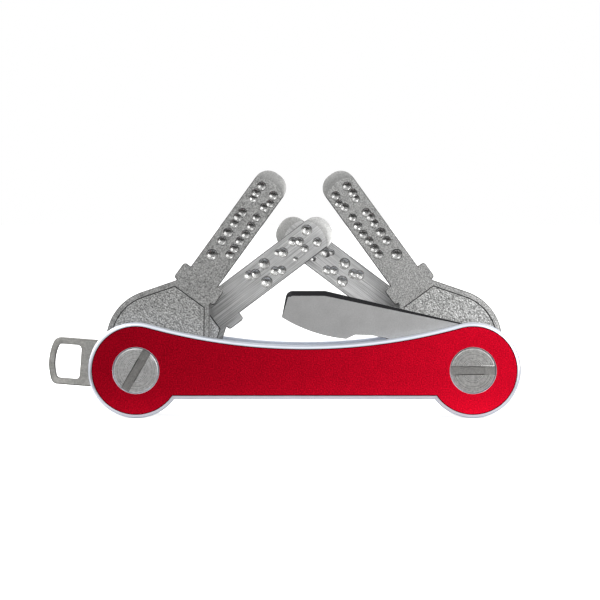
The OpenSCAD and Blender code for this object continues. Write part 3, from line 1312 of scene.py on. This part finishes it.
@dataclass
class CutterTool:
    """The blunt tool on the right post, with a notch below and a ground bevel along its back.

    Attributes:
        place: Where it lies.
        reach: Distance of the tip from the post.
        back: Height of the back above the post.
        belly: Radius of the long lower curve.
        belly_at: Where that curve is lowest.
        tooth_at: Where it starts.
        notch_at: Where the notch ends before it.
        notch: Height of the straight lower side.
        notch_bow: How far along and up the notch's far wall bows at its middle.
        neck_at: Where that side starts.
        drop: Slope of the back towards the tip, in degrees.
        drop_before_tip: Distance from the tip at which the back starts to slope.
        tip_round: Radius of the tip's corner.
        tip_flat: Distance from the tip at which the lower curve ends.
        heel: Angle at which the round end meets the neck, in degrees.
        bore: Radius of the bore.
        edge: Width of the broken edges.
        bevel: Width of the ground bevel at its widest.
        bevel_depth: Its depth there.
        bevel_taper: Angle at which it narrows towards the post, in degrees.
        bevel_low: Height below which there is no bevel, as a share of the back's.
        bevel_fade: Height over which it grows from nothing, as a share of the back's.
        curve_steps: Number of steps along each long side.
        drop_steps: Number of steps along the slope.
    """

    place: Placement
    reach: float = 44.9
    back: float = 9.75
    belly: float = 33.6
    belly_at: float = 34.0
    tooth_at: float = 29.4
    notch_at: float = 24.0
    notch: float = 2.45
    notch_bow: Point = (1.0, 0.3)
    neck_at: float = 13.5
    drop: float = 13.2
    drop_before_tip: float = 8.4
    tip_round: float = 1.6
    tip_flat: float = 0.2
    heel: float = 300.0
    bore: float = 2.56
    edge: float = 0.08
    bevel: float = 1.1
    bevel_depth: float = 0.9
    bevel_taper: float = 1.4
    bevel_low: float = 0.62
    bevel_fade: float = 0.1
    curve_steps: int = 24
    drop_steps: int = 8

    def belly_height(self, along: float) -> float:
        """Gives the height of the long lower curve."""
        return self.belly - math.sqrt(self.belly**2 - (along - self.belly_at) ** 2)

    def outline(self) -> list[Point]:
        """Gives the tool's outline, with its back along the top.

        Returns:
            The closed outline, with the post at its origin.
        """
        drop_at = self.reach - self.drop_before_tip
        tip = self.reach - self.tip_round
        fall = math.radians(self.drop)
        tip_high = self.back - (tip - drop_at) * math.tan(fall) - self.tip_round / math.cos(fall)
        belly_end = self.reach - self.tip_flat
        points = arc((0, 0), self.back, 90, self.heel, 90)
        points += [(self.neck_at, self.notch), (self.notch_at, self.notch)]
        low = self.belly_height(self.tooth_at)
        bow_along, bow_up = self.notch_bow
        middle = ((self.notch_at + self.tooth_at) / 2, (self.notch + low) / 2)
        points.append((middle[0] + bow_along, middle[1] + bow_up))
        for k in range(self.curve_steps + 1):
            along = self.tooth_at + (belly_end - self.tooth_at) * k / self.curve_steps
            points.append((along, self.belly_height(along)))
        points += arc((tip, tip_high), self.tip_round, 0, 90 - self.drop, 12)
        last = points[-1]
        for k in range(1, self.drop_steps):
            share = k / self.drop_steps
            along = last[0] + (drop_at - last[0]) * share
            points.append((along, last[1] + (self.back - last[1]) * share))
        steps = self.curve_steps
        points += [(drop_at * (1 - k / steps), self.back) for k in range(steps)]
        return without_repeats(points)

    def bevel_width(self, point: Point) -> float:
        """Gives the width of the ground bevel at a point of the outline.

        Args:
            point: The point.

        Returns:
            The width, which is that of a broken edge where there is no bevel.
        """
        along, across = point
        drop_at = self.reach - self.drop_before_tip
        low = self.back * self.bevel_low
        if along < 0.5 or across < low:
            return self.edge
        taper = math.tan(math.radians(self.bevel_taper)) * max(0.0, drop_at - along)
        fade = min(1.0, (across - low) / (self.back * self.bevel_fade))
        return max(self.edge, (self.bevel - taper) * fade)

    def make(self) -> None:
        """Builds and dresses the tool."""
        node = "cutter_tool"
        thickness = thickness_of(node)
        outline = self.outline()
        widths = [self.bevel_width(p) for p in outline]
        depths = [w * self.bevel_depth / self.bevel if w > self.edge else w for w in widths]
        solid = Relief()
        rings = [
            solid.ring(inset(outline, widths), 0),
            solid.ring(outline, depths),
            solid.ring(outline, thickness - self.edge),
            solid.ring(inset(outline, self.edge), thickness),
        ]
        solid.wall(rings[1:])
        solid.wall(rings[:2], 1)
        bore = [
            solid.ring(circle(r), d)
            for r, d in (
                (self.bore + BREAK, 0),
                (self.bore, BREAK),
                (self.bore, thickness - BREAK),
                (self.bore + BREAK, thickness),
            )
        ]
        solid.wall(bore)
        solid.cap([rings[0], bore[0]])
        solid.cap([rings[-1], bore[-1]])
        piece = solid.piece("cutter_tool_ground", self.place, (BLASTED_TOOL, GROUND_BEVEL_SHADE))
        fit(piece, "cutter", node)
        log.info("cutter tool: %d faces", len(piece.data.polygons))


# ---------------------------------------------------------------- keyring loop


@dataclass
class KeyringLoop:
    """The flat strap on the left post, with a D-shaped window for a ring.

    Attributes:
        place: Where it lies.
        reach: Distance of its end from the post.
        height: Its width across.
        bar: Width of the bar at its end.
        side_bar: Width of the bars beside the window.
        end_arc: Radius of its bowed end.
        corner: Radius of the corners there.
        window_start: Distance of the window from the post.
        window_corner: Radius of the window's corners.
        bore: Radius of the bore.
        edge: Radius of the rounded outer edges.
        window_edge: Radius of the window's rounded edges.
    """

    place: Placement
    reach: float = 20.9
    height: float = 10.8
    bar: float = 1.4
    side_bar: float = 1.45
    end_arc: float = 12.0
    corner: float = 1.6
    window_start: float = 13.6
    window_corner: float = 1.0
    bore: float = 2.56
    edge: float = 0.28
    window_edge: float = 0.12

    @staticmethod
    def end(half: float, centre: float, radius: float, corner: float) -> list[Point]:
        """Gives the bowed end of a strap, from its lower to its upper side.

        Args:
            half: Half width of the strap.
            centre: Distance of the bow's centre from the post.
            radius: Radius of the bow.
            corner: Radius of the corners.

        Returns:
            The points of the end.
        """
        along = centre + math.sqrt((radius - corner) ** 2 - (half - corner) ** 2)
        meet = math.degrees(math.atan2(half - corner, along - centre))
        points = arc((along, corner - half), corner, -90, -meet, 12)
        points += arc((centre, 0), radius, -meet, meet, 24)
        points += arc((along, half - corner), corner, meet, 90, 12)
        return points

    def make(self) -> None:
        """Builds and dresses the loop."""
        node = "keyring_loop"
        thickness = thickness_of(node)
        half, centre = self.height / 2, self.reach - self.end_arc
        window_half = half - self.side_bar
        strap = self.end(half, centre, self.end_arc, self.corner)
        strap = without_repeats(strap + arc((0, 0), half, 90, 270, 60))
        inner = self.window_start + self.window_corner
        across = window_half - self.window_corner
        window = self.end(window_half, centre, self.end_arc - self.bar, self.window_corner)
        window += arc((inner, across), self.window_corner, 90, 180, 10)
        window += arc((inner, -across), self.window_corner, 180, 270, 10)
        window = without_repeats(window)
        solid = Relief()
        turn, tight = rounded_edge(self.edge, 4), rounded_edge(self.window_edge, 2)
        front, back = [], []
        for outline, edge, sign in ((strap, turn, 1), (window, tight, -1)):
            lines = edge + [(inwards, thickness - d) for inwards, d in reversed(edge)]
            rings = [solid.ring(inset(outline, inwards * sign), d) for inwards, d in lines]
            solid.wall(rings, 1)
            front.append(rings[0])
            back.append(rings[-1])
        bore = [solid.ring(circle(self.bore), d) for d in (0, thickness)]
        solid.wall(bore)
        solid.cap(front + [bore[0]])
        solid.cap(back + [bore[1]])
        piece = solid.piece("keyring_loop_strap", self.place, (TUMBLED_LOOP, LOOP_EDGE_SHADE))
        fit(piece, "loop", node)
        log.info("keyring loop: %d faces", len(piece.data.polygons))


# ---------------------------------------------------------------- studio


@dataclass(frozen=True)
class Lamp:
    """A square soft lamp that faces the object.

    Attributes:
        name: Name of the lamp.
        spot: Its place, in metres.
        size: Side of the square, in metres.
        power: Its power, in watts.
    """

    name: str
    spot: tuple[float, float, float]
    size: float
    power: float

    def hang(self) -> None:
        """Adds the lamp to the scene, out of the camera's sight."""
        data = bpy.data.lights.new(self.name, "AREA")
        data.shape = "SQUARE"
        data.size = self.size
        data.energy = self.power
        lamp = bpy.data.objects.new(self.name, data)
        lamp.location = self.spot
        lamp.visible_camera = False
        aim = MIDDLE + Vector((0, 0, 0.01)) - Vector(self.spot)
        lamp.rotation_euler = aim.to_track_quat("-Z", "Y").to_euler()
        bpy.context.scene.collection.objects.link(lamp)


@dataclass
class Studio:
    """A pale floor, soft light and the camera.

    Attributes:
        elevation: Height of the camera's line of sight, in degrees.
        distance: Distance of the camera from the plates, in metres.
        view_width: Width of the view at the plates, in metres.
        aim_left: How far left of the plates' middle the camera aims, in metres.
        aim_above_post: How far above the posts it aims, in metres.
        sensor: Width of the camera's sensor, in millimetres.
        floor_half: Half width of the floor, in metres.
        paper_white: Light added to the floor where the camera sees it.
        card_half: Half width of a dark card, and how far out it reaches, in metres.
        card_gap: Distance of a card from the object's middle, in metres.
        card_lift: Height of a card above the floor, in metres.
        sky_strength: Brightness of the sky that lights the object.
        sky_stops: (height, brightness) of the sky's bands, from 0 at the bottom to 1.
        lamps: The lamps.
    """

    elevation: float = 2.0
    distance: float = 0.6
    view_width: float = 0.135
    aim_left: float = 0.00102
    aim_above_post: float = 0.0159
    sensor: float = 36.0
    floor_half: float = 6.0
    paper_white: float = 0.75
    card_half: float = 0.5
    card_gap: float = 0.02
    card_lift: float = 0.001
    sky_strength: float = 1.15
    sky_stops: tuple[Point, ...] = ((0.64, 0.6), (0.82, 1.0), (0.92, 1.0), (1.0, 0.55))
    lamps: tuple[Lamp, ...] = (
        Lamp("key_light", (0.16, -0.15, 0.07), 0.14, 0.2),
        Lamp("left_light", (-0.5, -0.1, 0.15), 0.5, 0.4),
        Lamp("right_light", (0.5, -0.1, 0.15), 0.5, 0.4),
        Lamp("back_light", (-0.16, 0.20, 0.12), 0.18, 0.5),
        Lamp("high_light", (-0.10, -0.13, 0.22), 0.05, 0.08),
    )

    @staticmethod
    def sheet(
        name: str, low: Point, high: Point, lift: float, finish: bpy.types.Material
    ) -> bpy.types.Object:
        """Lays a flat sheet that isn't part of the object.

        Args:
            name: Name of the sheet.
            low: X and Y of its corner on the left and nearest the camera, in metres.
            high: X and Y of the opposite corner.
            lift: Its height, in metres.
            finish: Its material.

        Returns:
            The sheet.
        """
        data = bpy.data.meshes.new(name)
        flat = (low, (high[0], low[1]), high, (low[0], high[1]))
        data.from_pydata([(x, y, lift) for x, y in flat], [], [(0, 1, 2, 3)])
        data.materials.append(finish)
        sheet = bpy.data.objects.new(name, data)
        bpy.context.scene.collection.objects.link(sheet)
        return sheet

    @staticmethod
    def matt(name: str, grey: float) -> bpy.types.Material:
        """Makes a matt grey stage material.

        Args:
            name: Name of the material.
            grey: Its grey.

        Returns:
            The material.
        """
        made = bpy.data.materials.new(name)
        made.use_nodes = True
        surface = made.node_tree.nodes["Principled BSDF"]
        surface.inputs["Base Color"].default_value = (grey, grey, grey, 1)
        surface.inputs["Roughness"].default_value = 0.9
        return made

    def paper(self) -> bpy.types.Material:
        """Makes the floor's paper, which looks white but lights the object as plain paper.

        Returns:
            The material.
        """
        paper = self.matt("floor_paper", 0.75)
        tree = paper.node_tree
        surface = tree.nodes["Principled BSDF"]
        surface.inputs["Specular IOR Level"].default_value = 0.1
        surface.inputs["Emission Color"].default_value = (1, 1, 1, 1)
        ray = tree.nodes.new("ShaderNodeLightPath")
        strength = tree.nodes.new("ShaderNodeMath")
        strength.operation = "MULTIPLY"
        strength.inputs[1].default_value = self.paper_white
        tree.links.new(ray.outputs["Is Camera Ray"], strength.inputs[0])
        tree.links.new(strength.outputs["Value"], surface.inputs["Emission Strength"])
        return paper

    def floor(self) -> None:
        """Lays wide white paper, and a dark card on each side that only gloss sees."""
        far = self.floor_half
        self.sheet("floor", (-far, -far), (far, far), 0, self.paper())
        dark = self.matt("card_black", 0.05)
        half, gap = self.card_half, self.card_gap
        for side, near, end in (("front", -half, -gap), ("back", gap, half)):
            card = self.sheet(f"{side}_card", (-half, near), (half, end), self.card_lift, dark)
            card.visible_camera = card.visible_diffuse = card.visible_shadow = False

    def sky(self) -> None:
        """Surrounds the object with white light in soft bands."""
        world = bpy.data.worlds.new("studio")
        bpy.context.scene.world = world
        world.use_nodes = True
        tree = world.node_tree
        tree.nodes.clear()
        out = tree.nodes.new("ShaderNodeOutputWorld")
        seen = tree.nodes.new("ShaderNodeBackground")
        seen.inputs["Color"].default_value = (1, 1, 1, 1)
        seen.inputs["Strength"].default_value = 1.0
        lit = tree.nodes.new("ShaderNodeBackground")
        lit.inputs["Strength"].default_value = self.sky_strength
        where = tree.nodes.new("ShaderNodeTexCoord")
        split = tree.nodes.new("ShaderNodeSeparateXYZ")
        ramp = tree.nodes.new("ShaderNodeValToRGB")
        stops = ramp.color_ramp.elements
        for end, (height, grey) in ((0, self.sky_stops[0]), (1, self.sky_stops[-1])):
            stops[end].position, stops[end].color = height, (grey, grey, grey, 1)
        for height, grey in self.sky_stops[1:-1]:
            stops.new(height).color = (grey, grey, grey, 1)
        lift = tree.nodes.new("ShaderNodeMath")
        lift.operation = "MULTIPLY_ADD"
        lift.inputs[1].default_value = 0.5
        lift.inputs[2].default_value = 0.5
        ray = tree.nodes.new("ShaderNodeLightPath")
        mix = tree.nodes.new("ShaderNodeMixShader")
        tree.links.new(where.outputs["Generated"], split.inputs["Vector"])
        tree.links.new(split.outputs["Z"], lift.inputs[0])
        tree.links.new(lift.outputs["Value"], ramp.inputs["Fac"])
        tree.links.new(ramp.outputs["Color"], lit.inputs["Color"])
        tree.links.new(ray.outputs["Is Camera Ray"], mix.inputs["Fac"])
        tree.links.new(lit.outputs["Background"], mix.inputs[1])
        tree.links.new(seen.outputs["Background"], mix.inputs[2])
        tree.links.new(mix.outputs["Shader"], out.inputs["Surface"])

    def camera(self) -> None:
        """Sets a long-lens camera that looks at the plates' outer face."""
        data = bpy.data.cameras.new("camera")
        data.sensor_width = self.sensor
        data.lens = self.sensor * self.distance / self.view_width
        data.clip_start, data.clip_end = 0.01, 20
        camera = bpy.data.objects.new("camera", data)
        aim = Vector(
            (MIDDLE.x - self.aim_left, front_of("front_plate"), MIDDLE.z + self.aim_above_post)
        )
        angle = math.radians(self.elevation)
        back = Vector((0, -math.cos(angle), math.sin(angle)))
        camera.location = aim + back * self.distance
        camera.rotation_euler = (-back).to_track_quat("-Z", "Y").to_euler()
        bpy.context.scene.collection.objects.link(camera)
        bpy.context.scene.camera = camera

    def make(self) -> None:
        """Sets up the whole studio."""
        self.floor()
        self.sky()
        for lamp in self.lamps:
            lamp.hang()
        self.camera()
        bpy.context.scene.view_settings.view_transform = "Standard"
        log.info("studio ready")


def keys() -> list[Key]:
    """Gives the four keys: a front and a rear one on each post.

    Returns:
        The keys, ready to be made.
    """
    made = []
    for side, post, mirrored in (("left", LEFT_POST, False), ("right", RIGHT_POST, True)):
        for row, rise, grey, grain, pits in (
            ("front", 54.0, 0.465, Grain.BLASTED, FRONT_PITS),
            ("rear", 37.0, 0.72, Grain.BRUSHED, REAR_PITS),
        ):
            node = f"key_{side}_{row}"
            place = Placement(post, front_of(node), rise, mirrored)
            body, slot = f"{side}_{row}_key", f"{row}_key_metal"
            made.append(Key(node, body, slot, place, grey, grain, pits))
    return made


def main() -> None:
    """Builds the studio and every piece, and notes the sizes."""
    logging.basicConfig(level=logging.INFO, format="%(name)s: %(message)s")
    Studio().make()
    Plates().make()
    # The left post's metal is painted lighter than the right's: painted light and shade on two like posts.
    Post("left", LEFT_POST, 60.0, 0.92).make()
    Post("right", RIGHT_POST, 0.0, 0.62).make()
    for key in keys():
        key.make()
    CutterTool(Placement(RIGHT_POST, front_of("cutter_tool"), 13.2, True)).make()
    KeyringLoop(Placement(LEFT_POST, front_of("keyring_loop"), 175.5)).make()


if __name__ == "__main__":
    main()
